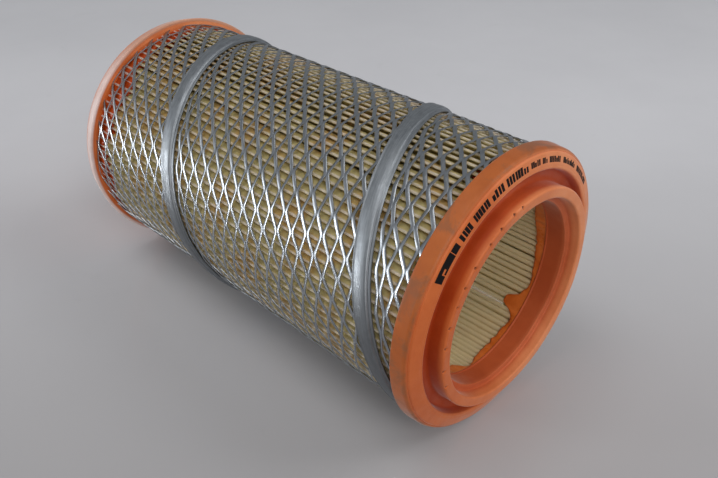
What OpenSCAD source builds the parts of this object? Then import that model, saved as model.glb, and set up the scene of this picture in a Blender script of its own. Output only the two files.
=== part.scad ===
// Cylindrical air filter element: a pleated paper pack bonded between two moulded
// polyurethane end caps, inside a spirally wound expanded-metal liner.
// The element lies on its side: +X points out of its open end and +Z is up.
// The origin is at the centre of the bottom of its bounding box.

/* [Element] */
// Overall length, from the closed face to the top of the sealing lip
element_len = 261; // [200:1:400]
// Outer diameter of both end caps
cap_d = 141.6; // [136:0.2:160]
// Diameter of the sealing bore in the open cap
bore_d = 92.4; // [84:0.2:94]

/* [Open cap] */
// Depth of the cap's side wall
rim_h = 9; // [8:0.5:16]
// Radius of the rounded rim
rim_round = 2.4; // [1:0.1:3]
// Rise of the printed annulus from its outer to its inner edge
crown = 1.4; // [0.4:0.1:2]
// Width of the printed annulus
annulus_w = 6; // [5:0.5:7]
// Height of the sealing lip above the rim
lip_h = 6.6; // [4:0.2:9]
// Outer diameter of the sealing lip
lip_d = 109.4; // [108:0.2:112]
// Wall thickness of the sealing lip
lip_t = 5.2; // [3:0.2:5.6]
// Depth of the groove outside the lip, below the rim
groove_depth = 3.6; // [2:0.2:4]
// Height of the ledge at the top of the sealing bore
ledge_h = 0.7; // [0.2:0.1:2]

/* [Closed cap] */
// Thickness of the closed cap
closed_h = 9; // [8:0.5:16]
// Diameter of the shallow dish in the closed face
dish_d = 92; // [60:1:110]
// Depth of the shallow dish
dish_depth = 1.4; // [0.4:0.2:2]

/* [Pleated media] */
// Number of pleats
pleats = 102; // [60:1:110]
// Diameter over the outer folds
media_d = 132.8; // [128:0.2:133]
// Diameter inside the inner folds
media_bore_d = 93.8; // [93:0.2:104]
// Thickness of the filter paper
paper_t = 0.55; // [0.4:0.05:0.6]
// Half width of a folded tip
fold_half_w = 0.7; // [0.65:0.05:0.8]
// Depth that the pack and the liner are potted into each cap
potting = 5; // [3:0.5:6]

/* [Liner] */
// Outer diameter of the liner
liner_d = 135.9; // [135:0.1:136]
// Thickness of the liner over its strands
liner_t = 0.8; // [0.6:0.1:1]
// Axial advance of the lock seam in one turn
seam_pitch = 141; // [100:1:180]
// Width of the lock seam, across its run
seam_w = 9.4; // [6:0.2:12]
// Width of the folded ridge in the middle of the seam
ridge_w = 5.2; // [3:0.2:6]
// Height of the folded ridge
ridge_h = 1.2; // [0.8:0.1:1.4]
// Height of the seam's flat margins
margin_h = 0.4; // [0.3:0.1:0.6]
// Distance of the seam from the closed face along the top of the element
seam_top = 195.6; // [150:0.1:220]

/* [Hidden] */
$fn = 96;
fit_gap = 0.1;
cap_r = cap_d / 2;
bore_r = bore_d / 2;
lip_r = lip_d / 2;
lip_bore_r = lip_r - lip_t;
// Height of the rim plane of the open cap above the closed face
rim_z = element_len - lip_h;
// Height of the open cap's back edge
back_z = rim_z - rim_h;
liner_r = liner_d / 2;
media_z0 = closed_h - potting;
media_len = back_z + potting - media_z0;
seam_beta = atan(seam_pitch / (2 * PI * liner_r));
seam_r = liner_r + 0.15;
seam_step = 6;
// Angle about the axis from the underside of the element, where the seam has height z
function seam_angle(z) = 180 + 360 * (z - seam_top) / seam_pitch;
strip_angle = 42;

// Points of an arc about [cx, cy]
function arc(cx, cy, r, a0, a1, n = 6) =
    [for (i = [0 : n]) let (a = a0 + (a1 - a0) * i / n) [cx + r * cos(a), cy + r * sin(a)]];

// Lays a piece that was made along +Z on its side, closed face at -X
module lay() {
    translate([-element_len / 2, 0, cap_r]) rotate([0, 90, 0]) children();
}

// Half section of the open cap, as [radius, height above the rim plane]
function open_cap_points() = concat(
    [[bore_r, -rim_h - 1.2]],
    [[bore_r + 0.6, -rim_h - 1.2]],
    [[bore_r + 1.8, -rim_h]],
    arc(cap_r - 0.8, 0.8 - rim_h, 0.8, -90, 0),
    arc(cap_r - 0.4 - rim_round, -rim_round, rim_round, 0, 80),
    [[cap_r - 2.4 - annulus_w + 0.6, crown]],
    arc(cap_r - 2.4 - annulus_w - 0.4, crown - 1, 1, 75, 165),
    arc(lip_r + 4.2, 1.6 - groove_depth, 1.6, 340, 270),
    arc(lip_r + 2.6, 2.6 - groove_depth, 2.6, 270, 192),
    arc(lip_r - 1.1, lip_h - 1.1, 1.1, 0, 90),
    arc(lip_bore_r + 0.9, lip_h - 0.9, 0.9, 90, 180),
    [[lip_bore_r - 0.3, ledge_h + 0.8]],
    [[lip_bore_r - 1, ledge_h]],
    [[bore_r + 0.6, ledge_h]],
    [[bore_r, 0]]
);

// Half section of the closed cap, as [radius, height above the closed face]
function closed_cap_points() = concat(
    [[0, dish_depth]],
    [[dish_d / 2 - 1.2, dish_depth]],
    [[dish_d / 2, 0]],
    arc(cap_r - 0.4 - rim_round, rim_round, rim_round, 270, 360),
    arc(cap_r - 0.8, closed_h - 0.8, 0.8, 0, 90),
    [[0, closed_h]]
);

// Closed zigzag through the outer tips at radius r_out and the inner tips at r_in
function folds(r_out, half_out, r_in, half_in) =
    [for (i = [0 : pleats - 1], k = [0 : 3])
        let (r = k < 2 ? r_out : r_in,
             half = k < 2 ? half_out : half_in,
             a = (i + (k < 2 ? 0 : 0.5)) * 360 / pleats,
             side = k % 2 == 0 ? -1 : 1)
        [r * cos(a) - side * half * sin(a), r * sin(a) + side * half * cos(a)]];

// The pleated sheet, seen along the axis
module pleat_outline() {
    difference() {
        polygon(folds(media_d / 2, fold_half_w, media_bore_d / 2 + paper_t, fold_half_w - paper_t));
        polygon(folds(media_d / 2 - paper_t, fold_half_w - paper_t, media_bore_d / 2, fold_half_w));
    }
}

// The pack from height z0 to z1
module pack(z0, z1) {
    translate([0, 0, z0]) linear_extrude(height = z1 - z0) pleat_outline();
}

// Tube that the liner fills, with a gap all round
module liner_tube(z0, z1, gap) {
    translate([0, 0, z0]) difference() {
        cylinder(r = liner_r + gap, h = z1 - z0);
        translate([0, 0, -1]) cylinder(r = liner_r - liner_t - gap, h = z1 - z0 + 2);
    }
}

module front_end_cap() {
    color([0.93, 0.45, 0.22]) lay() difference() {
        translate([0, 0, rim_z]) rotate_extrude() polygon(open_cap_points());
        pack(back_z - 2, media_z0 + media_len);
        liner_tube(back_z - 2, back_z + potting, fit_gap);
    }
}

module rear_end_cap() {
    color([0.93, 0.45, 0.22]) lay() difference() {
        rotate_extrude() polygon(closed_cap_points());
        pack(media_z0, closed_h + 2);
        liner_tube(closed_h - potting, closed_h + 2, fit_gap);
    }
}

module pleated_media() {
    color([0.86, 0.8, 0.6]) lay() pack(media_z0, media_z0 + media_len);
}

// Hot-melt strip that closes the pack, between two inner folds
module media_seam_strip() {
    strip_w = 1;
    strip_depth = 4;
    slot = round(strip_angle * pleats / 360) * 360 / pleats;
    color([0.88, 0.88, 0.82]) lay()
        rotate([0, 0, slot])
        translate([media_bore_d / 2 + 0.2, -strip_w / 2, closed_h + 1])
        cube([strip_depth, strip_w, back_z - closed_h - 4]);
}

module outer_liner() {
    color([0.58, 0.63, 0.68]) lay()
        liner_tube(closed_h - potting + fit_gap, back_z + potting - fit_gap, 0);
}

// Section of the lock seam: [distance across the seam, height above the liner]
SEAM_SECTION = [
    [-seam_w / 2, 0], [seam_w / 2, 0], [seam_w / 2, margin_h], [ridge_w / 2 + 0.3, margin_h],
    [ridge_w / 2, ridge_h], [-ridge_w / 2, ridge_h], [-ridge_w / 2 - 0.3, margin_h],
    [-seam_w / 2, margin_h]
];

// Point p of the section, carried along the helix to the angle a
function seam_point(a, p) =
    let (r = seam_r + p[1],
         turn = a - p[0] * sin(seam_beta) / seam_r * 180 / PI,
         z = seam_top + (a - 180) / 360 * seam_pitch + p[0] * cos(seam_beta))
    [r * cos(turn), r * sin(turn), z];

module seam_sweep(a0, a1) {
    rings = ceil((a1 - a0) / seam_step);
    n = len(SEAM_SECTION);
    points = [for (i = [0 : rings], p = SEAM_SECTION) seam_point(a0 + (a1 - a0) * i / rings, p)];
    sides = [for (i = [0 : rings - 1], k = [0 : n - 1])
        let (b = i * n, m = (k + 1) % n) [b + k, b + n + k, b + n + m, b + m]];
    triangles = [for (q = sides, t = [0 : 1]) t == 0 ? [q[0], q[1], q[2]] : [q[0], q[2], q[3]]];
    start = [[for (k = [0 : n - 1]) k]];
    end = [[for (k = [n - 1 : -1 : 0]) rings * n + k]];
    polyhedron(points, concat(start, triangles, end));
}

module lock_seam() {
    reach = 2 * cap_d;
    spare = 20;
    color([0.62, 0.66, 0.7]) lay() difference() {
        seam_sweep(seam_angle(closed_h - seam_w), seam_angle(back_z + seam_w));
        translate([-reach / 2, -reach / 2, closed_h + fit_gap / 2 - spare])
            cube([reach, reach, spare]);
        translate([-reach / 2, -reach / 2, back_z - fit_gap / 2])
            cube([reach, reach, spare]);
    }
}

front_end_cap();
rear_end_cap();
pleated_media();
media_seam_strip();
outer_liner();
lock_seam();
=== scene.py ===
"""Looks of a cylindrical air filter element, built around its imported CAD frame.

The element lies along X with its open end at +X. phi is the angle about its axis from the
top (+Z) towards the camera side (-Y), in degrees. s is the distance from the closed face.
On the liner, t runs along the helix of the lock seam and w across it. Lengths are in metres.
"""

import math

import bpy
import numpy as np
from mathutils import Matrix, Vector


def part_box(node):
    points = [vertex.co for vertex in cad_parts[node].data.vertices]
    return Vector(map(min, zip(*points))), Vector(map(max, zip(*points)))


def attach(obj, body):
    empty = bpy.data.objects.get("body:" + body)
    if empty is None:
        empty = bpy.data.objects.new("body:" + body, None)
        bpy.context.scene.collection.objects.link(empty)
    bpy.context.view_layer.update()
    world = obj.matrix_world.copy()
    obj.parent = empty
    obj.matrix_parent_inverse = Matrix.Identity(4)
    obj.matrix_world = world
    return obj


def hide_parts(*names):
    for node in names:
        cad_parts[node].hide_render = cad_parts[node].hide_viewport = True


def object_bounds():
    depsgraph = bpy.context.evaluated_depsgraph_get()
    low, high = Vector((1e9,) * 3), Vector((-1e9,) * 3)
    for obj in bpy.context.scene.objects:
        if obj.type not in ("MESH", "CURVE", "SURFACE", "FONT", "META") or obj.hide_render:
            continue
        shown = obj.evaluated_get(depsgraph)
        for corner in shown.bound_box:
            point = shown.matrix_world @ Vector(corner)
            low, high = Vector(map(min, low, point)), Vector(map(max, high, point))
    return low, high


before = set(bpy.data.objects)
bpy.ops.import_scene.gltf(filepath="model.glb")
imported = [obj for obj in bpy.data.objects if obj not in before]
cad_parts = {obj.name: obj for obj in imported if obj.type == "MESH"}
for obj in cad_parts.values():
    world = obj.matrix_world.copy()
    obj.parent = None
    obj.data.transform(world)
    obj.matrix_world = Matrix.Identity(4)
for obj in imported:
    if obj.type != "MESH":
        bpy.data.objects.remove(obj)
cad_low, cad_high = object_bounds()
RNG = np.random.default_rng(20)
MM = 0.001
TURN = 2 * math.pi

# ---------------------------------------------------------------- sizes from the CAD frame
front_low, front_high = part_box("front_end_cap")
rear_low, rear_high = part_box("rear_end_cap")
media_low, media_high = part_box("pleated_media")
CAP_R = (front_high.z - front_low.z) / 2
AXIS_Z = (front_high.z + front_low.z) / 2
CLOSED_X = rear_low.x
LIP_H = 6.6 * MM
RIM_S = front_high.x - LIP_H - CLOSED_X
RIM_H = 9.0 * MM
BACK_S = RIM_S - RIM_H
BORE_R = 46.2 * MM
CLOSED_H = rear_high.x - rear_low.x
MEDIA_R = (media_high.z - media_low.z) / 2
MEDIA_S0 = media_low.x - CLOSED_X
MEDIA_S1 = media_high.x - CLOSED_X


# ---------------------------------------------------------------- geometry helpers
def place(s, r, phi):
    """Points of the row frame at distance s from the closed face, radius r and angle phi (radians)."""
    s, r, phi = np.broadcast_arrays(s, r, phi)
    return np.stack([CLOSED_X + s, -r * np.sin(phi), AXIS_Z + r * np.cos(phi)], axis=-1)


def signed_volume(points, faces):
    total = 0.0
    for face in (faces[:, [0, 1, 2]], faces[:, [0, 2, 3]]):
        a, b, c = points[face[:, 0]], points[face[:, 1]], points[face[:, 2]]
        total += np.einsum("ij,ij->i", a, np.cross(b, c)).sum()
    return total


def add_piece(name, points, quads, material, sharp=40.0, extra=None, body="root"):
    """A closed mesh from an array of points and one of quads, turned so that it faces outwards."""
    points = np.asarray(points, float).reshape(-1, 3)
    if signed_volume(points - points.mean(axis=0), quads) < 0:
        quads = quads[:, ::-1]
        extra = None if extra is None else extra[:, ::-1]
    faces = quads.tolist() + ([] if extra is None else extra.tolist())
    mesh = bpy.data.meshes.new(name)
    mesh.from_pydata(points.tolist(), [], faces)
    mesh.validate()
    mesh.shade_smooth()
    mesh.set_sharp_from_angle(angle=math.radians(sharp))
    mesh.materials.append(material)
    piece = bpy.data.objects.new(name, mesh)
    bpy.context.scene.collection.objects.link(piece)
    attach(piece, body)
    return piece


def paint_points(piece, name, values):
    """Stores a number at each point, for the material to read."""
    layer = piece.data.attributes.new(name, "FLOAT", "POINT")
    layer.data.foreach_set("value", np.ascontiguousarray(values, np.float32).ravel())


def grid_quads(rows, columns, wrap_rows, wrap_columns):
    """Quads over a grid of points that is stored row by row."""
    i = np.arange(rows if wrap_rows else rows - 1)
    j = np.arange(columns if wrap_columns else columns - 1)
    i, j = np.meshgrid(i, j, indexing="ij")
    i2, j2 = (i + 1) % rows, (j + 1) % columns
    corners = [i * columns + j, i2 * columns + j, i2 * columns + j2, i * columns + j2]
    return np.stack(corners, axis=-1).reshape(-1, 4)


def arc(cx, cy, r, a0, a1, n=8):
    """Points of an arc, as (x, y) pairs, with its angles in degrees."""
    angles = np.radians(np.linspace(a0, a1, n + 1))
    return [(cx + r * math.cos(a), cy + r * math.sin(a)) for a in angles]


def refine(profile, spacing, closed):
    """The profile with points added so that none is further than spacing(r, h) from the next."""
    result = []
    count = len(profile) if closed else len(profile) - 1
    for i in range(count):
        (r0, h0), (r1, h1) = profile[i], profile[(i + 1) % len(profile)]
        step = spacing((r0 + r1) / 2, (h0 + h1) / 2)
        n = max(1, math.ceil(math.hypot(r1 - r0, h1 - h0) / step))
        result += [(r0 + (r1 - r0) * k / n, h0 + (h1 - h0) * k / n) for k in range(n)]
    if not closed:
        result.append(profile[-1])
    return np.array(result)


def ripple(angle, waves, size, falloff=1.0):
    """A smooth random function of an angle, about `size` high, that closes on itself."""
    total = np.zeros_like(angle, dtype=float)
    norm = 0.0
    for n in waves:
        height = n ** -falloff
        total += height * RNG.normal() * np.sin(n * angle + RNG.uniform(0, TURN))
        norm += height * height
    return total * size / math.sqrt(norm / 2 + 1e-12) / 1.4


def smooth_step(x, low, high):
    u = np.clip((x - low) / (high - low), 0, 1)
    return u * u * (3 - 2 * u)


def ring(name, phi, section, material, sharp=50.0):
    """A ring about the axis: section[i] holds the (r, s) points of the closed section at phi[i]."""
    section = np.asarray(section)
    points = place(section[..., 1], section[..., 0], phi[:, None])
    quads = grid_quads(len(phi), section.shape[1], True, True)
    return add_piece(name, points, quads, material, sharp)


# ---------------------------------------------------------------- materials
class Shader:
    """A Principled material under construction. Each method returns an output socket."""

    def __init__(self, name, **constants):
        self.material = bpy.data.materials.new(name)
        self.material.use_nodes = True
        self.tree = self.material.node_tree
        self.tree.nodes.clear()
        self.surface = self.node("ShaderNodeBsdfPrincipled", {})
        output = self.node("ShaderNodeOutputMaterial", {})
        self.tree.links.new(self.surface.outputs[0], output.inputs["Surface"])
        self.where = self.node("ShaderNodeTexCoord", {}).outputs["Object"]
        split = self.node("ShaderNodeSeparateXYZ", {0: self.where})
        self.x, self.y, self.z = split.outputs
        for key, value in constants.items():
            self.surface.inputs[key.replace("_", " ")].default_value = value

    def feed(self, socket, value):
        if isinstance(value, bpy.types.NodeSocket):
            self.tree.links.new(value, socket)
        else:
            socket.default_value = value

    def node(self, kind, inputs, **settings):
        made = self.tree.nodes.new(kind)
        for key, value in settings.items():
            setattr(made, key, value)
        for key, value in inputs.items():
            self.feed(made.inputs[key], value)
        return made

    def calc(self, operation, a, b=0.0, c=0.0):
        return self.node("ShaderNodeMath", {0: a, 1: b, 2: c}, operation=operation).outputs[0]

    def span(self, value, low, high, out_low=0.0, out_high=1.0):
        inputs = {"Value": value, "From Min": low, "From Max": high}
        inputs.update({"To Min": out_low, "To Max": out_high})
        made = self.node("ShaderNodeMapRange", inputs, interpolation_type="SMOOTHSTEP")
        return made.outputs[0]

    def noise(self, scale, detail=3.0, rough=0.55, vector=None, distortion=0.0):
        inputs = {"Vector": vector or self.where, "Scale": scale, "Detail": detail}
        inputs.update({"Roughness": rough, "Distortion": distortion})
        return self.node("ShaderNodeTexNoise", inputs).outputs[0]

    def cells(self, scale):
        made = self.node("ShaderNodeTexVoronoi", {"Vector": self.where, "Scale": scale})
        return self.node("ShaderNodeSeparateXYZ", {0: made.outputs["Color"]}).outputs[0]

    def mix(self, factor, a, b):
        made = self.node("ShaderNodeMix", {0: factor, 6: a, 7: b}, data_type="RGBA")
        return made.outputs[2]

    def vector(self, x, y, z):
        return self.node("ShaderNodeCombineXYZ", {0: x, 1: y, 2: z}).outputs[0]

    def radius(self):
        up = self.calc("SUBTRACT", self.z, AXIS_Z)
        square = self.calc("MULTIPLY", up, up)
        return self.calc("SQRT", self.calc("MULTIPLY_ADD", self.y, self.y, square))

    def helix(self, beta, r):
        """Coordinates along and across the lock seam's helix."""
        up = self.calc("SUBTRACT", self.z, AXIS_Z)
        turn = self.calc("ARCTAN2", self.calc("MULTIPLY", self.y, -1.0), up)
        run = self.calc("MULTIPLY", turn, r)
        along = self.calc("MULTIPLY_ADD", self.x, math.sin(beta),
                          self.calc("MULTIPLY", run, math.cos(beta)))
        across = self.calc("MULTIPLY_ADD", self.x, math.cos(beta),
                           self.calc("MULTIPLY", run, -math.sin(beta)))
        return along, across

    def bump(self, height, strength, distance, normal=None):
        inputs = {"Height": height, "Strength": strength, "Distance": distance}
        if normal is not None:
            inputs["Normal"] = normal
        return self.node("ShaderNodeBump", inputs).outputs[0]

    def attribute(self, name):
        return self.node("ShaderNodeAttribute", {}, attribute_name=name).outputs["Fac"]

    def translucent(self, colour, share):
        """Mixes in light that passes through a thin sheet."""
        glow = self.node("ShaderNodeBsdfTranslucent", {"Color": colour}).outputs[0]
        both = self.node("ShaderNodeMixShader", {0: share, 1: self.surface.outputs[0], 2: glow})
        output = [n for n in self.tree.nodes if n.type == "OUTPUT_MATERIAL"][0]
        self.tree.links.new(both.outputs[0], output.inputs["Surface"])

    def set(self, **sockets):
        for key, value in sockets.items():
            self.feed(self.surface.inputs[key.replace("_", " ")], value)
        return self.material


def rgb(r, g, b):
    return (r, g, b, 1.0)


def foam_material():
    sh = Shader("pu_foam", IOR=1.45, Specular_IOR_Level=0.4, Sheen_Weight=0.35, Sheen_Roughness=0.30)
    tone = sh.span(sh.noise(38, 5, 0.6), 0.3, 0.7)
    clean_and_shaded_side = sh.mix(tone, rgb(0.57, 0.118, 0.024), rgb(0.66, 0.160, 0.038))
    # Paler, whiter foam towards +Y and deeper red towards -Y: partly dust, partly painted light on the
    # +Y side and painted shade on the -Y side.
    dust_and_lit_side = sh.mix(tone, rgb(0.74, 0.230, 0.085), rgb(0.84, 0.300, 0.125))
    dust_and_lit_side = sh.mix(sh.span(sh.y, -50 * MM, 30 * MM), clean_and_shaded_side, dust_and_lit_side)
    # Painted shade: the front cap's groove, the outer wall of its lip and its bore are painted a
    # darker, deeper red.
    painted_recess_shade = sh.mix(tone, rgb(0.38, 0.034, 0.002), rgb(0.48, 0.056, 0.005))
    colour = sh.mix(sh.attribute("painted_recess_shade"), dust_and_lit_side, painted_recess_shade)
    speck = sh.span(sh.noise(900, 2, 0.5), 0.60, 0.72)
    colour = sh.mix(sh.calc("MULTIPLY", speck, 0.18), colour, rgb(0.45, 0.10, 0.03))
    outside = sh.span(sh.radius(), CAP_R - 2.2 * MM, CAP_R - 0.7 * MM)
    # Painted shade: the front cap's outer side wall is painted darker than its face.
    side = sh.mix(tone, rgb(0.38, 0.090, 0.016), rgb(0.48, 0.126, 0.027))
    front = sh.span(sh.x, -20 * MM, 20 * MM)
    colour = sh.mix(sh.calc("MULTIPLY", outside, front), colour, side)
    # Painted light: the rear cap's side wall is painted paler and pinker.
    back = sh.calc("MULTIPLY", outside, sh.span(sh.x, -100 * MM, -90 * MM, 1.0, 0.0))
    back = sh.calc("MULTIPLY", back, sh.span(sh.noise(60, 4, 0.6), 0.30, 0.60, 0.8, 1.0))
    colour = sh.mix(sh.calc("MULTIPLY", back, 0.75), colour, rgb(0.62, 0.38, 0.28))
    # Painted highlight: a whitish glare on the rear cap's side wall towards -Y.
    painted_rear_highlight = sh.calc("MULTIPLY", back, sh.span(sh.y, -60 * MM, -25 * MM, 0.95, 0.0))
    colour = sh.mix(painted_rear_highlight, colour, rgb(0.93, 0.74, 0.70))
    smudge = sh.span(sh.noise(55, 6, 0.7, distortion=0.8), 0.47, 0.62)
    grime = sh.calc("MULTIPLY", outside, smudge)
    grime = sh.calc("MULTIPLY", grime, sh.span(sh.x, -20 * MM, 20 * MM, 0.12, 0.55))
    colour = sh.mix(grime, colour, rgb(0.20, 0.090, 0.045))
    # Painted shade: the pits are painted near black.
    colour = sh.mix(sh.attribute("pit_shade"), colour, rgb(0.055, 0.010, 0.003))
    grain = sh.bump(sh.noise(2600, 3, 0.6), 0.12, 0.12 * MM)
    normal = sh.bump(sh.noise(420, 3, 0.55), 0.16, 0.3 * MM, grain)
    rough = sh.span(sh.noise(160, 4, 0.6), 0.3, 0.7, 0.42, 0.60)
    return sh.set(Base_Color=colour, Roughness=rough, Normal=normal)


def squeeze_material(name, gloss, dark, light):
    sh = Shader(name, IOR=1.5, Specular_IOR_Level=gloss)
    tone = sh.span(sh.noise(140, 4, 0.6), 0.3, 0.7)
    colour = sh.mix(tone, rgb(*dark), rgb(*light))
    normal = sh.bump(sh.noise(650, 3, 0.5), 0.25, 0.3 * MM)
    rough = sh.span(sh.noise(300, 2, 0.5), 0.3, 0.7, 0.26, 0.42)
    return sh.set(Base_Color=colour, Roughness=rough, Normal=normal)


def paper_material():
    sh = Shader("filter_paper", Specular_IOR_Level=0.2)
    stretched = sh.vector(sh.calc("MULTIPLY", sh.x, 0.25), sh.y, sh.z)
    r = sh.radius()
    inner_r, outer_r = BORE_R + 0.75 * MM, MEDIA_R - 0.15 * MM
    # Painted light and shade by radius: the outer crests are painted pale, the valleys a darker olive
    # and the inner folds a pale yellow.
    crest_light = sh.span(r, outer_r - 0.75 * MM, outer_r - 0.35 * MM)
    inner_fold_light = sh.span(r, inner_r + 0.1 * MM, inner_r + 3.0 * MM, 1.0, 0.0)
    fibre = sh.span(sh.noise(1500, 5, 0.7, stretched), 0.35, 0.65)
    valley_shade = sh.mix(fibre, rgb(0.66, 0.59, 0.30), rgb(0.76, 0.69, 0.40))
    blotch = sh.span(sh.noise(48, 4, 0.6), 0.48, 0.60)
    valley_shade = sh.mix(sh.calc("MULTIPLY", blotch, 0.65), valley_shade, rgb(0.74, 0.46, 0.16))
    tip = sh.mix(fibre, rgb(0.86, 0.78, 0.73), rgb(0.94, 0.88, 0.84))
    colour = sh.mix(crest_light, valley_shade, tip)
    colour = sh.mix(inner_fold_light, colour, rgb(0.98, 0.87, 0.60))
    normal = sh.bump(sh.noise(2200, 4, 0.7, stretched), 0.3, 0.1 * MM)
    rough = sh.span(fibre, 0.0, 1.0, 0.82, 0.95)
    sh.translucent(rgb(0.98, 0.93, 0.76), 0.62)
    return sh.set(Base_Color=colour, Roughness=rough, Normal=normal)


def melt_material():
    sh = Shader("hot_melt", Specular_IOR_Level=0.5, Subsurface_Weight=0.15)
    sh.surface.inputs["Subsurface Scale"].default_value = 0.6 * MM
    cloud = sh.span(sh.noise(260, 4, 0.6), 0.3, 0.7)
    colour = sh.mix(cloud, rgb(0.66, 0.60, 0.46), rgb(0.78, 0.75, 0.66))
    normal = sh.bump(sh.noise(700, 3, 0.5), 0.25, 0.2 * MM)
    rough = sh.span(cloud, 0.0, 1.0, 0.36, 0.5)
    return sh.set(Base_Color=colour, Roughness=rough, Normal=normal)


def zinc_material(name, beta, r, streak, rough_low, rough_high, tint, lower_side_shade):
    """Galvanised sheet: spangle, rolling streaks along the helix, dull patches and painted shade low
    down.
    """
    sh = Shader(name, Metallic=1.0)
    along, across = sh.helix(beta, r)
    lines = sh.vector(sh.calc("MULTIPLY", along, 0.06), across, 0.0)
    spangle = sh.cells(420)
    drawn = sh.span(sh.noise(1600, 4, 0.65, lines), 0.3, 0.7)
    dull = sh.span(sh.noise(90, 5, 0.65), 0.40, 0.68)
    shade = sh.calc("MULTIPLY_ADD", drawn, streak, sh.calc("MULTIPLY", spangle, 0.25))
    dark = rgb(*(0.60 * c for c in tint))
    colour = sh.mix(shade, dark, rgb(*tint))
    colour = sh.mix(sh.calc("MULTIPLY", dull, 0.35), colour, rgb(0.30, 0.32, 0.34))
    # Painted shade: darker towards the bottom.
    lower_side_shade_mask = sh.span(sh.z, 60 * MM, 125 * MM, lower_side_shade, 0.0)
    colour = sh.mix(lower_side_shade_mask, colour, rgb(0.13, 0.135, 0.14))
    normal = sh.bump(drawn, 0.10, 0.05 * MM)
    normal = sh.bump(sh.noise(500, 2, 0.5), 0.05, 0.1 * MM, normal)
    worn = sh.calc("MULTIPLY_ADD", drawn, 0.25, sh.calc("MULTIPLY", dull, 0.6))
    rough = sh.span(worn, 0.0, 0.85, rough_low, rough_high)
    return sh.set(Base_Color=colour, Roughness=rough, Normal=normal)


def ink_material():
    sh = Shader("marking_ink", Specular_IOR_Level=0.15)
    patch = sh.span(sh.noise(1900, 3, 0.6), 0.55, 0.75)
    colour = sh.mix(patch, rgb(0.006, 0.005, 0.006), rgb(0.022, 0.014, 0.012))
    rough = sh.span(patch, 0.0, 1.0, 0.55, 0.75)
    return sh.set(Base_Color=colour, Roughness=rough)


def floor_material():
    """A pale floor. Its colour is darker towards the photo's camera, in place of uneven room light."""
    sh = Shader("pale_floor", Specular_IOR_Level=0.5)
    cloud = sh.span(sh.noise(5, 6, 0.6), 0.3, 0.7)
    colour = sh.mix(cloud, rgb(0.75, 0.75, 0.79), rgb(0.79, 0.79, 0.83))
    away = sh.calc("SUBTRACT", sh.y, sh.x)
    near = sh.span(away, -0.45, 0.45, 1.0, 0.0)
    colour = sh.mix(near, colour, rgb(0.372, 0.360, 0.368))
    stain = sh.span(sh.noise(26, 7, 0.7, distortion=0.8), 0.60, 0.80)
    colour = sh.mix(sh.calc("MULTIPLY", stain, 0.10), colour, rgb(0.30, 0.29, 0.28))
    normal = sh.bump(sh.noise(160, 5, 0.6), 0.04, 0.5 * MM)
    return sh.set(Base_Color=colour, Roughness=0.26, Normal=normal)


# ---------------------------------------------------------------- lock seam helix
PITCH = 141.0 * MM
SEAM_S = 195.6 * MM
BAND_R = 67.2 * MM
BETA = math.atan(PITCH / (TURN * BAND_R))
COS_B, SIN_B = math.cos(BETA), math.sin(BETA)
STRIP_W = PITCH * COS_B
SEAM_HALF = 4.7 * MM


def on_strip(t, w, r):
    """Points of the liner strip, with t along the helix and w across it from the seam."""
    phi = (t * COS_B - w * SIN_B) / BAND_R
    return place(SEAM_S + t * SIN_B + w * COS_B, r, phi)


FOAM = foam_material()
SQUEEZE = squeeze_material("pu_squeeze_out", 0.5, (0.62, 0.125, 0.016), (0.76, 0.190, 0.036))
# Painted shade: the foam that rose between the pleats is painted a much darker red than the cap foam.
RISEN = squeeze_material("pu_risen_foam", 0.2, (0.34, 0.036, 0.004), (0.46, 0.066, 0.008))
PAPER = paper_material()
MELT = melt_material()
MESH_ZINC = zinc_material("mesh_zinc", BETA, BAND_R, 0.35, 0.32, 0.44, (0.50, 0.535, 0.58), 0.0)
SEAM_ZINC = zinc_material("seam_zinc", BETA, BAND_R, 0.70, 0.47, 0.58, (0.40, 0.43, 0.465), 0.6)
INK = ink_material()


# ---------------------------------------------------------------- front cap
CREASE_R, CREASE_H = 68.75, -0.85
PIT_R = 53.75
PIT_SIZES = (0.55, 0.75)
PIT_DEPTH = 1.9
PIT_ANGLES = np.radians([9.0, 15.0, 24.5, 33.0, 45.0, 54.5, 63.5, 73.5, 84.0, 97.5, 109.0])


def front_profile():
    """Closed half section of the open cap, as (r, height above the rim plane), in millimetres."""
    points = [(46.2, -10.2), (46.8, -10.2), (48.0, -9.0), (60.0, -9.0), (65.5, -9.6), (67.4, -10.0)]
    points += [(68.3, -9.7), (68.9, -9.3), (69.4, -9.05)]
    points += arc(70.0, -8.2, 0.8, -75, 0, 6)
    points += arc(68.2, -2.9, 2.25, 0, 68, 10)
    points += [(CREASE_R + 0.12, CREASE_H), (CREASE_R, CREASE_H - 0.12)]
    points += [(CREASE_R - 0.12, CREASE_H + 0.1), (CREASE_R - 0.3, -0.35), (68.2, -0.1)]
    points += [(67.6, 0.08), (63.4, 1.32)]
    points += arc(62.1, 0.35, 1.1, 62, 168, 10)
    points += arc(58.9, -2.0, 1.6, 340, 270, 8)
    points += arc(57.3, -1.0, 2.6, 270, 192, 10)
    points += arc(53.7, 5.6, 1.0, 4, 90, 8)
    points += arc(50.5, 5.6, 1.0, 90, 176, 8)
    points += [(49.25, 1.9)]
    points += arc(48.35, 1.55, 0.85, 352, 270, 5)
    points += [(46.95, 0.72)]
    points += arc(46.75, 0.17, 0.55, 90, 180, 5)
    points += [(46.2, -9.2), (45.98, -9.42), (45.98, -9.95)]
    return points


def front_spacing(r, h):
    if 53.0 < r < 55.0 and h > 4.5:
        return 0.22
    return 0.7


WAVE_PHI = np.radians(np.arange(-180.0, 180.5, 0.5))
RIM_WAVE = 0.06 * ripple(WAVE_PHI, range(3, 14), 1.0, 0.6)


def rim_wave(phi):
    """Unevenness of the annulus, in millimetres."""
    return np.interp(phi, WAVE_PHI, RIM_WAVE)


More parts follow.
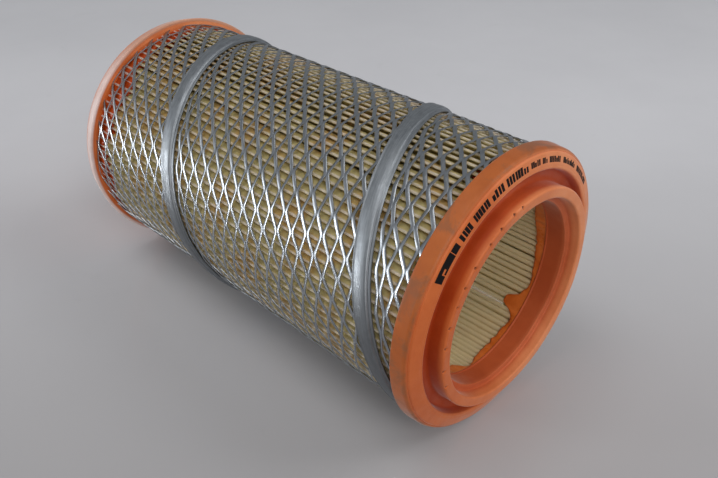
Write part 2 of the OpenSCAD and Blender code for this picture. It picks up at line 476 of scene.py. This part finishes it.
def front_cap():
    profile = refine(front_profile(), front_spacing, True)
    coarse = np.radians(np.arange(-180.0, 180.0, 0.9))
    fine = np.radians(np.arange(4.0, 114.0, 0.24))
    phi = np.unique(np.round(np.concatenate([coarse, fine]), 6))
    keep = np.concatenate([[True], np.diff(phi) > np.radians(0.08)])
    phi = phi[keep]
    r = np.broadcast_to(profile[:, 0], (len(phi), len(profile))).copy()
    h = np.broadcast_to(profile[:, 1], r.shape).copy()
    lip = smooth_step(profile[:, 1], 1.0, 5.0) * (profile[:, 0] < 56)
    ledge = (profile[:, 0] < 49.5) * (profile[:, 1] > 0.0) * (1 - lip)
    r += 0.16 * lip * ripple(phi, range(2, 9), 1.0, 0.6)[:, None]
    h -= 0.10 * lip * np.abs(ripple(phi, range(2, 12), 1.0, 0.5))[:, None]
    h += 0.12 * ledge * ripple(phi, range(2, 14), 1.0, 0.5)[:, None]
    rim = smooth_step(profile[:, 0], 60.0, 63.0) * (profile[:, 1] > -1.5)
    h += rim * rim_wave(phi)[:, None]
    # Besides sinking the pits, this keeps where they are, for the painted shade in them.
    pit_shade = np.zeros_like(h)
    for centre in PIT_ANGLES:
        size = RNG.uniform(*PIT_SIZES)
        dr = (r - PIT_R - RNG.uniform(-0.25, 0.2)) / (size * 0.8)
        dt = (phi[:, None] - centre) * PIT_R / size
        sink = np.exp(-(dr * dr + dt * dt) ** 1.5) * (profile[:, 1] > 4.5)
        h -= PIT_DEPTH * size * sink
        pit_shade = np.maximum(pit_shade, smooth_step(sink, 0.25, 0.7))
    piece = ring("front_cap_foam", phi, np.stack([r * MM, RIM_S + h * MM], axis=-1),
                 FOAM, 60.0)
    r0, h0 = profile[:, 0], profile[:, 1]
    inside_annulus = smooth_step(61.5 - r0, 0.0, 1.0)
    # Masks for the painted shade in the groove, on the lip's outer wall and in the bore.
    groove = 0.75 * inside_annulus * smooth_step(0.6 - h0, 0.0, 2.0)
    wall = 0.85 * smooth_step(r0, 53.8, 54.6) * inside_annulus * smooth_step(5.4 - h0, 0.0, 2.5)
    bore = 0.60 * smooth_step(50.2 - r0, 0.0, 0.8) * smooth_step(4.0 - h0, 0.0, 3.0)
    painted_recess_shade = np.broadcast_to(np.maximum(np.maximum(groove, wall), bore), pit_shade.shape)
    paint_points(piece, "pit_shade", pit_shade)
    paint_points(piece, "painted_recess_shade", painted_recess_shade)
    return piece


front_piece = front_cap()
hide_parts("front_end_cap")


# ---------------------------------------------------------------- rear cap
def rear_profile():
    """Half section of the closed cap from axis to axis, as (r, s), in millimetres."""
    points = [(0.0, 1.4), (43.2, 1.4)]
    points += arc(43.2, 0.2, 1.2, 90, 40, 4)
    points += arc(45.6, 1.35, 1.35, 228, 270, 5)
    points += arc(66.9, 2.4, 2.4, 270, 350, 12)
    points += arc(70.1, 8.2, 0.7, 0, 80, 6)
    points += [(69.3, 8.9), (68.6, 8.95), (68.1, 9.1), (67.6, 9.3), (66.6, 9.3), (64.0, 9.2)]
    points += [(60.0, 9.0)]
    points += [(0.0, 9.0)]
    return points


def rear_cap():
    """The closed cap: rings of points between one point on the axis at each side."""
    profile = refine(rear_profile(), lambda r, h: 0.9 if r > 42 else 4.0, False)
    phi = np.radians(np.arange(-180.0, 180.0, 0.75))
    inner = profile[1:-1]
    r = np.broadcast_to(inner[:, 0], (len(phi), len(inner))).copy()
    s = np.broadcast_to(inner[:, 1], r.shape).copy()
    ledge = smooth_step(s, 9.0, 9.3) * (r > 62)
    s += 0.30 * ledge * ripple(phi, range(4, 40), 1.0, 0.3)[:, None]
    face = (s < 2.0) * smooth_step(r, 4.0, 12.0)
    s += 0.05 * face * np.abs(ripple(phi, range(1, 7), 1.0, 0.7))[:, None]
    points = place(s * MM, r * MM, phi[:, None]).reshape(-1, 3)
    poles = place(profile[[0, -1], 1] * MM, 0.0, 0.0)
    columns = len(inner)
    quads = grid_quads(len(phi), columns, True, False)
    first = np.arange(len(phi)) * columns
    after = np.roll(first, -1)
    pole = len(points)
    start = np.stack([first, np.full_like(first, pole), after], axis=-1)
    last, last_after = first + columns - 1, after + columns - 1
    end = np.stack([last_after, np.full_like(first, pole + 1), last], axis=-1)
    caps = np.concatenate([start, end])
    return add_piece("rear_cap_foam", np.concatenate([points, poles]), quads, FOAM,
                     60.0, caps)


rear_piece = rear_cap()
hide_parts("rear_end_cap")


# ---------------------------------------------------------------- foam that rose between the pleats
def climb(phi, base, patches, size):
    """Height of the foam over its cap: a ragged ring with higher patches, in millimetres."""
    height = base + ripple(phi, range(3, 30), size, 0.35)
    height += np.abs(ripple(phi, range(40, 130), size * 1.2, 0.0))
    for centre, half_width, rise in patches:
        offset = (np.degrees(phi) - centre + 180) % 360 - 180
        height += rise * np.exp(-(offset / half_width) ** 2)
    return np.maximum(height, 0.6)


def risen_foam(name, root_s, direction, base, patches, size, wall_r):
    phi = np.radians(np.arange(-180.0, 180.0, 0.5))
    height = climb(phi, base, patches, size)
    wall = wall_r + ripple(phi, range(20, 90), 0.25, 0.0)
    section = []
    for h, r in zip(height, wall):
        outline = [(48.5, -1.5), (r, -1.5), (r, h - 0.8), (r - 0.5, h - 0.2)]
        outline += [(r - 1.4, h), (56.0, h * 0.8), (49.5, h * 0.8 - 0.3), (48.5, h * 0.7 - 0.8)]
        section.append([(a * MM, root_s + direction * b * MM) for a, b in outline])
    return ring(name, phi, section, RISEN, 45.0)


risen_foam("rear_foam_between_pleats", CLOSED_H, 1.0, 5.0,
           [(46, 11, 12.0), (27, 6, 6.0), (8, 9, 3.0), (68, 6, 7.0), (95, 10, 6.0), (-40, 14, 6.0),
            (-120, 20, 5.0)], 1.6, 65.9)
risen_foam("front_foam_between_pleats", BACK_S, -1.0, 4.0,
           [(60, 16, 3.0), (0, 12, 2.0), (-70, 20, 4.0), (150, 18, 3.0)], 1.0, 62.6)


# ---------------------------------------------------------------- film in the bore
def bore_film():
    phi = np.radians(np.arange(-180.0, 180.0, 0.5))
    reach = 13.9 + ripple(phi, range(5, 14), 0.4, 0.4) + ripple(phi, range(14, 70), 0.35, 0.2)
    bulges = [(226.0, 5.2, 7.4), (290, 22, 2.6), (157, 6, 2.6), (171, 6, -3.0), (212, 7, -1.6)]
    bulges += [(243, 8, -1.6), (60, 15, 1.8), (20, 12, -1.5), (105, 20, 1.2)]
    for centre, half_width, rise in bulges:
        offset = (np.degrees(phi) - centre + 180) % 360 - 180
        reach += rise * np.exp(-np.abs(offset / half_width) ** 2.8)
    reach = np.clip(reach, 10.9, 21.5)
    lift = ripple(phi, range(10, 80), 0.10, 0.1)
    section = []
    for e, b in zip(reach, lift):
        outline = [(46.22, 9.6), (46.34 + b, 10.6), (46.40 + b, (10.6 + e) / 2), (46.45 + b, e - 0.9)]
        outline += [(46.62 + b, e - 0.3), (47.0, e), (48.2, e + 0.1), (48.4, e - 1.5), (48.4, 9.6)]
        section.append([(r * MM, RIM_S - d * MM) for r, d in outline])
    return ring("bore_squeeze_out", phi, section, SQUEEZE, 60.0)


bore_film()


# ---------------------------------------------------------------- printed marks, kept generic
ANNULUS_OUTER_R, ANNULUS_OUTER_H = 67.6, 0.08
ANNULUS_INNER_R, ANNULUS_INNER_H = 63.4, 1.32


def annulus_height(r):
    """Height of the annulus over the rim plane, in millimetres."""
    share = (ANNULUS_OUTER_R - r) / (ANNULUS_OUTER_R - ANNULUS_INNER_R)
    return ANNULUS_OUTER_H + share * (ANNULUS_INNER_H - ANNULUS_OUTER_H)


def mark(phi0, phi1, r0, r1):
    """Points and quads of one thin patch of ink that lies on the annulus."""
    columns = max(2, math.ceil((phi1 - phi0) / 0.5) + 1)
    phi = np.radians(np.linspace(phi0, phi1, columns))[:, None]
    r = np.linspace(r0, r1, 3)[None, :]
    layers = []
    for rise in (-0.10, 0.05):
        height = annulus_height(r) + rim_wave(phi) + rise
        layers.append(place(RIM_S + height * MM, r * MM, phi))
    loop = np.concatenate([layers[0], layers[1][:, ::-1]], axis=1)
    quads = [grid_quads(columns, 6, False, True)]
    for end, row in ((0, 0), (1, columns - 1)):
        b = row * 6
        sides = np.array([[b, b + 1, b + 4, b + 5], [b + 1, b + 2, b + 3, b + 4]])
        quads.append(sides if end == 0 else sides[:, ::-1])
    return loop.reshape(-1, 3), np.concatenate(quads)


MARK_MIDDLE_R = 65.55


def printed_marks():
    """A solid block and rows of plain bars, in place of the printed words."""
    patches = [(41.2, 44.6, 63.9, 67.2), (44.9, 50.6, 63.7, 67.4), (50.6, 53.0, 65.6, 67.4)]
    patches += [(53.0, 56.2, 63.7, 67.4), (50.6, 52.6, 63.7, 64.6)]
    rows = [(33.0, 39.6, 4, 3.5), (22.4, 31.4, 6, 3.5), (13.8, 20.8, 4, 3.5), (-0.8, 12.4, 8, 3.5)]
    rows += [(-8.8, -2.4, 5, 2.5), (-13.8, -10.0, 3, 2.4), (-24.2, -15.2, 7, 2.5)]
    rows += [(-38.8, -26.5, 10, 2.5), (-55.6, -41.2, 11, 2.5)]
    for start, end, bars, size in rows:
        pitch = (end - start) / bars
        for i in range(bars):
            a = start + i * pitch
            width = pitch * RNG.choice([0.66, 0.76, 0.86])
            low, high = MARK_MIDDLE_R - size / 2, MARK_MIDDLE_R + size / 2
            if RNG.random() < 0.2:
                high -= size * 0.3
            patches.append((a, a + width, low, high))
    points, quads, count = [], [], 0
    for patch in patches:
        p, q = mark(*patch)
        points.append(p)
        quads.append(q + count)
        count += len(p)
    return add_piece("printed_marks", np.concatenate(points), np.concatenate(quads), INK,
                     30.0)


printed_marks()


# ---------------------------------------------------------------- pleated pack
PLEATS = 102
PAPER_T = 0.55 * MM
TIP_FOLD = 0.42 * MM
ROOT_FOLD = 1.0 * MM
TIP_R = MEDIA_R - 0.15 * MM
ROOT_R = 46.95 * MM
LEAN = -0.090
LEG_SHARES = (0.93, 0.86, 0.78, 0.68, 0.55, 0.4, 0.25, 0.12)


def wander(count, s, waves, size):
    """For each of `count` pleats, a smooth random function of s, about `size` high."""
    total = np.zeros((len(s), count))
    for wave in waves:
        turn = RNG.uniform(0, TURN, count)[None, :]
        height = RNG.normal(0, 1, count)[None, :]
        total += height * np.sin(TURN * s[:, None] / wave + turn)
    return total * size / math.sqrt(len(waves))


def bow(share):
    """Turn of a leg about the axis, at a share of the way from its inner to its outer fold."""
    near_tip = 1 - math.exp((share - 1) / 0.17)
    near_root = 1 - math.exp(-share / 0.3)
    return LEAN * near_tip * near_root


def pleated_pack():
    """A closed zigzag sheet with rounded folds. Each pleat leans and bows a little."""
    stations = np.linspace(MEDIA_S0, MEDIA_S1, 34)
    pitch = TURN / PLEATS
    base = np.arange(PLEATS) * pitch
    tip_turn = wander(PLEATS, stations, (0.34, 0.16, 0.09), 0.0032)
    tip_turn += RNG.normal(0, 0.0035, PLEATS)[None, :]
    root_turn = wander(PLEATS, stations, (0.34, 0.16), 0.0030)
    root_turn += RNG.normal(0, 0.003, PLEATS)[None, :]
    tip_r = TIP_R + wander(PLEATS, stations, (0.4, 0.13), 0.10 * MM)
    tip_r += RNG.normal(0, 0.12 * MM, PLEATS)[None, :]
    tip_r = np.minimum(tip_r, TIP_R)
    root_r = ROOT_R + np.abs(wander(PLEATS, stations, (0.4, 0.15), 0.15 * MM))
    fold = np.radians(np.linspace(-90, 90, 9))
    line = []
    outer_r = tip_r - TIP_FOLD - PAPER_T / 2
    inner_r = root_r + ROOT_FOLD + PAPER_T / 2
    for a in fold:
        angle = base + tip_turn + TIP_FOLD * np.sin(a) / outer_r
        line.append((outer_r + TIP_FOLD * np.cos(a), angle))
    next_root = base + pitch / 2 + root_turn
    leg_start = base + tip_turn + TIP_FOLD / outer_r
    leg_end = next_root - ROOT_FOLD / inner_r
    for share in LEG_SHARES:
        radius = inner_r + (outer_r - inner_r) * share
        line.append((radius, leg_start * share + leg_end * (1 - share) + bow(share)))
    for a in fold:
        angle = next_root + ROOT_FOLD * np.sin(a) / inner_r
        line.append((inner_r - ROOT_FOLD * np.cos(a), angle))
    leg_start = next_root + ROOT_FOLD / inner_r
    next_r = np.roll(outer_r, -1, axis=1)
    leg_end = np.roll(base + tip_turn, -1, axis=1)
    leg_end[:, -1] += TURN
    leg_end = leg_end - TIP_FOLD / next_r
    for share in LEG_SHARES[::-1]:
        radius = inner_r + (next_r - inner_r) * share
        line.append((radius, leg_end * share + leg_start * (1 - share) + bow(share)))
    radius = np.stack([np.broadcast_to(p[0], tip_turn.shape) for p in line], axis=-1)
    angle = np.stack([np.broadcast_to(p[1], tip_turn.shape) for p in line], axis=-1)
    radius = radius.reshape(len(stations), -1)
    angle = angle.reshape(len(stations), -1)
    u, v = radius * np.cos(angle), radius * np.sin(angle)
    du = np.roll(u, -1, axis=1) - np.roll(u, 1, axis=1)
    dv = np.roll(v, -1, axis=1) - np.roll(v, 1, axis=1)
    length = np.hypot(du, dv)
    nu, nv = dv / length, -du / length
    points, count = [], u.shape[1]
    for side in (0.5, -0.5):
        pu, pv = u + side * PAPER_T * nu, v + side * PAPER_T * nv
        s = np.broadcast_to(stations[:, None], pu.shape)
        points.append(np.stack([CLOSED_X + s, -pv, AXIS_Z + pu], axis=-1))
    rows = len(stations)
    outer = grid_quads(rows, count, False, True)
    inner = grid_quads(rows, count, False, True)[:, ::-1] + rows * count
    i = np.arange(count)
    j = (i + 1) % count
    top, bottom = (rows - 1) * count, rows * count
    first = np.stack([i, j, j + bottom, i + bottom], axis=-1)
    last = np.stack([j + top, i + top, i + top + bottom, j + top + bottom], axis=-1)
    quads = np.concatenate([outer, inner, first, last])
    points = np.concatenate([p.reshape(-1, 3) for p in points])
    return add_piece("pleated_paper", points, quads, PAPER, 60.0)


media_piece = pleated_pack()
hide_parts("pleated_media")


# ---------------------------------------------------------------- hot-melt strip of the pack
def melt_strip():
    """A bead between two inner folds, uneven along its run."""
    low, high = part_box("media_seam_strip")
    y, z = (low.y + high.y) / 2, (low.z + high.z) / 2
    phi0 = math.atan2(-y, z - AXIS_Z)
    s = np.linspace(low.x - CLOSED_X, RIM_S - 20.5 * MM, 160)
    swell = 1.0 + 0.16 * np.sin(s * 210) + 0.12 * np.sin(s * 530 + 1.0)
    drift = 0.35 * MM * np.sin(s * 45)
    around = np.radians(np.arange(0, 360, 30))
    wide = 0.85 * MM * swell[:, None] * np.cos(around)[None, :] + drift[:, None]
    deep = 1.55 * MM * swell[:, None] * np.sin(around)[None, :]
    r = BORE_R + 1.6 * MM + deep
    points = place(s[:, None], r, phi0 + wide / r)
    quads = grid_quads(len(s), len(around), False, True)
    count = len(around)
    end = (len(s) - 1) * count
    caps = []
    for i in range(count // 2 - 1):
        a, b, c, d = i, i + 1, count - 2 - i, count - 1 - i
        caps.append([a, b, c, d])
        caps.append([end + d, end + c, end + b, end + a])
    caps = np.array(caps)
    return add_piece("media_melt_strip", points, np.concatenate([quads, caps]), MELT)


strip_piece = melt_strip()
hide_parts("media_seam_strip")


# ---------------------------------------------------------------- expanded-metal liner
RIBBONS = 27
STRAND = 1.95 * MM
SHEET_T = 0.45 * MM
OVERLAP = 0.40 * MM
LONG_WAY = 18.3 * MM
PHASE = 0.545
POINTED = 0.97
BOND_TILT = math.radians(10)
RISING_TILT = math.radians(5)
FALLING_TILT = math.radians(22)
EMBED = 5.0 * MM


def ribbon_rows():
    """Centre line and swing of each ribbon across the strip."""
    swing = [0.5 * MM, 0.8 * MM]
    full = (4.7 * MM - STRAND + OVERLAP) / 2
    swing += [full] * (RIBBONS - 2)
    centre = [SEAM_HALF + 2.7 * MM]
    for k in range(1, RIBBONS):
        centre.append(centre[-1] + swing[k - 1] + swing[k] + STRAND - OVERLAP)
    room = STRIP_W - SEAM_HALF + 0.1 * MM - full - STRAND / 2
    stretch = (room - centre[1]) / (centre[-1] - centre[1])
    centre = centre[:2] + [centre[1] + (c - centre[1]) * stretch for c in centre[2:]]
    return centre, swing


def wobble(t, w):
    """Small unevenness of the strip, as shifts along t and w."""
    a = np.sin(t / (29 * MM) + w / (37 * MM) + 1.3) + 0.7 * np.sin(t / (13 * MM) - w / (19 * MM))
    b = np.sin(t / (41 * MM) - w / (23 * MM) + 0.4) + 0.7 * np.sin(t / (17 * MM) + w / (15 * MM))
    return 0.14 * MM * a, 0.11 * MM * b


STATIONS_PER_CYCLE = 14


def expanded_metal():
    """Ribbons that swing to and fro and meet at the bonds. Their strands are twisted."""
    section = np.array([(-1, -1), (1, -1), (1, 0.4), (0.7, 1), (-0.7, 1), (-1, 0.4)])
    half = section * np.array([STRAND / 2, SHEET_T / 2])
    points, quads, count = [], [], 0
    centre, swing = ribbon_rows()
    for k in range(RIBBONS):
        w0 = centre[k]
        t_low = (EMBED - SEAM_S - w0 * COS_B) / SIN_B
        t_high = (BACK_S + CLOSED_H - EMBED - SEAM_S - w0 * COS_B) / SIN_B
        stations = int((t_high - t_low) / (LONG_WAY / STATIONS_PER_CYCLE))
        t = np.linspace(t_low, t_high, stations)
        turn = TURN * (t / LONG_WAY - PHASE) + math.pi * k
        wave = np.arcsin(POINTED * np.sin(turn)) / math.asin(POINTED)
        bend = np.gradient(wave * swing[k], t)
        dt, dw = wobble(t, w0)
        w = w0 + wave * swing[k] + dw
        lean = np.arctan(bend)
        share = 1 - wave * wave
        strand_tilt = np.where(bend > 0, RISING_TILT, FALLING_TILT)
        tilt = BOND_TILT + (strand_tilt - BOND_TILT) * share
        rise = -STRAND / 2 * np.sin(BOND_TILT) * wave
        a, b = half[:, 0][None, :], half[:, 1][None, :]
        flat = a * np.cos(tilt)[:, None] - b * np.sin(tilt)[:, None]
        up = a * np.sin(tilt)[:, None] + b * np.cos(tilt)[:, None]
        tt = (t + dt)[:, None] - flat * np.sin(lean)[:, None]
        ww = w[:, None] + flat * np.cos(lean)[:, None]
        points.append(on_strip(tt, ww, BAND_R + rise[:, None] + up).reshape(-1, 3))
        tube = grid_quads(stations, 6, False, True)
        end = (stations - 1) * 6
        caps = np.array([[0, 1, 2, 5], [5, 2, 3, 4]])
        caps = np.concatenate([caps[:, ::-1], caps + end])
        quads.append(np.concatenate([tube, caps]) + count)
        count += stations * 6
    return add_piece("expanded_metal_liner", np.concatenate(points), np.concatenate(quads),
                     MESH_ZINC, 35.0)


liner_piece = expanded_metal()
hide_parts("outer_liner")


# ---------------------------------------------------------------- lock seam
def lock_seam():
    """Folded band over the joined edges of the strip, with a flat margin on its open side."""
    outline = [(-4.55, 67.3), (-4.70, 68.3), (-4.62, 68.8), (-4.35, 69.06), (-4.0, 69.08)]
    outline += [(-3.7, 68.98), (-3.4, 68.94), (-2.6, 69.06), (-1.6, 69.17), (-0.6, 69.23)]
    outline += [(0.4, 69.22), (1.3, 69.14), (2.0, 69.02), (2.45, 68.90), (2.75, 68.72)]
    outline += [(2.92, 68.48), (3.0, 68.2), (3.15, 68.02), (3.4, 67.98), (4.4, 67.95)]
    outline += [(4.66, 67.86), (4.72, 67.7), (4.65, 67.3)]
    outline = np.array(outline) * MM
    w, r = outline[:, 0][None, :], outline[:, 1][None, :]
    s = np.arange(EMBED, BACK_S + CLOSED_H - EMBED, 0.35 * MM)[:, None]
    t = (s - SEAM_S - w * COS_B) / SIN_B
    uneven = 0.05 * MM * np.sin(t / (9 * MM)) * np.sin(t / (31 * MM) + 1)
    sway = 0.10 * MM * np.sin(t / (47 * MM))
    points = on_strip(t, w + sway, r + uneven * (r > 68.1 * MM))
    points = points.reshape(-1, 3)
    columns = outline.shape[0]
    quads = grid_quads(len(s), columns, False, True)
    end = (len(s) - 1) * columns
    caps = []
    for i in range(columns // 2 - 1):
        a, b, c, d = i, i + 1, columns - 2 - i, columns - 1 - i
        caps.append([d, c, b, a])
        caps.append([end + a, end + b, end + c, end + d])
    middle = columns // 2 - 1
    tip = [middle, middle + 1, middle + 2]
    extra = np.array([tip[::-1], [end + i for i in tip]])
    quads = np.concatenate([quads, np.array(caps)])
    return add_piece("lock_seam_band", points, quads, SEAM_ZINC, 35.0, extra)


seam_piece = lock_seam()
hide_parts("lock_seam")


# ---------------------------------------------------------------- floor, light and camera
FLOOR_HALF = 15.0
FLOOR_GAP = 0.1 * MM
LENS_MM = 37.26
CAMERA_AT = (0.2616, -0.2386, 0.2824)
CAMERA_PITCH, CAMERA_HEADING = 55.87, 44.27
WORLD_COLOUR, WORLD_STRENGTH = (0.95, 0.975, 1.0), 0.265
# Deep pleats need more bounces than the default, or they render black
DIFFUSE_BOUNCES = 10
# name, azimuth, elevation, distance, width, height, power, colour
LAMPS = [
    ("main", 255, 72, 1.8, 0.8, 0.8, 6.0, (1.0, 0.985, 0.965)),
    ("window_right", 335, 35, 2.0, 0.8, 0.8, 10, (1.0, 0.99, 0.97)),
    ("window_back", 40, 45, 2.0, 0.9, 0.9, 9, (1.0, 0.985, 0.96)),
    ("front_fill", 318, 20, 1.6, 0.5, 0.4, 2.0, (1.0, 0.99, 0.97)),
    ("window_low", 226, 5, 2.6, 0.5, 0.36, 21, (0.97, 0.99, 1.0)),
]


def add_floor():
    half = FLOOR_HALF
    z = cad_low.z - FLOOR_GAP
    mesh = bpy.data.meshes.new("floor")
    corners = [(-half, -half, z), (half, -half, z), (half, half, z), (-half, half, z)]
    mesh.from_pydata(corners, [], [(0, 1, 2, 3)])
    mesh.materials.append(floor_material())
    floor = bpy.data.objects.new("floor", mesh)
    bpy.context.scene.collection.objects.link(floor)


def add_area(name, azimuth, elevation, distance, width, height, power, colour):
    """An area light that faces the element from a direction: azimuth from +X towards +Y."""
    a, e = math.radians(azimuth), math.radians(elevation)
    direction = Vector((math.cos(e) * math.cos(a), math.cos(e) * math.sin(a), math.sin(e)))
    data = bpy.data.lights.new(name, "AREA")
    data.shape = "RECTANGLE"
    data.size, data.size_y = width, height
    data.energy = power
    data.color = colour
    lamp = bpy.data.objects.new(name, data)
    lamp.location = Vector((0, 0, AXIS_Z)) + direction * distance
    lamp.rotation_euler = direction.to_track_quat("Z", "Y").to_euler()
    bpy.context.scene.collection.objects.link(lamp)


def add_world(colour, strength):
    world = bpy.data.worlds.new("studio")
    world.use_nodes = True
    background = world.node_tree.nodes["Background"]
    background.inputs["Color"].default_value = rgb(*colour)
    background.inputs["Strength"].default_value = strength
    bpy.context.scene.world = world


def add_camera():
    data = bpy.data.cameras.new("camera")
    data.lens = LENS_MM
    data.sensor_width = 36.0
    data.clip_start = 0.01
    camera = bpy.data.objects.new("camera", data)
    camera.location = CAMERA_AT
    camera.rotation_euler = (math.radians(CAMERA_PITCH), 0.0, math.radians(CAMERA_HEADING))
    bpy.context.scene.collection.objects.link(camera)
    bpy.context.scene.camera = camera


add_floor()
add_world(WORLD_COLOUR, WORLD_STRENGTH)
for lamp_row in LAMPS:
    add_area(*lamp_row)
add_camera()
bpy.context.scene.view_settings.view_transform = "Standard"
bpy.context.scene.view_settings.look = "None"
bpy.context.scene.cycles.diffuse_bounces = DIFFUSE_BOUNCES
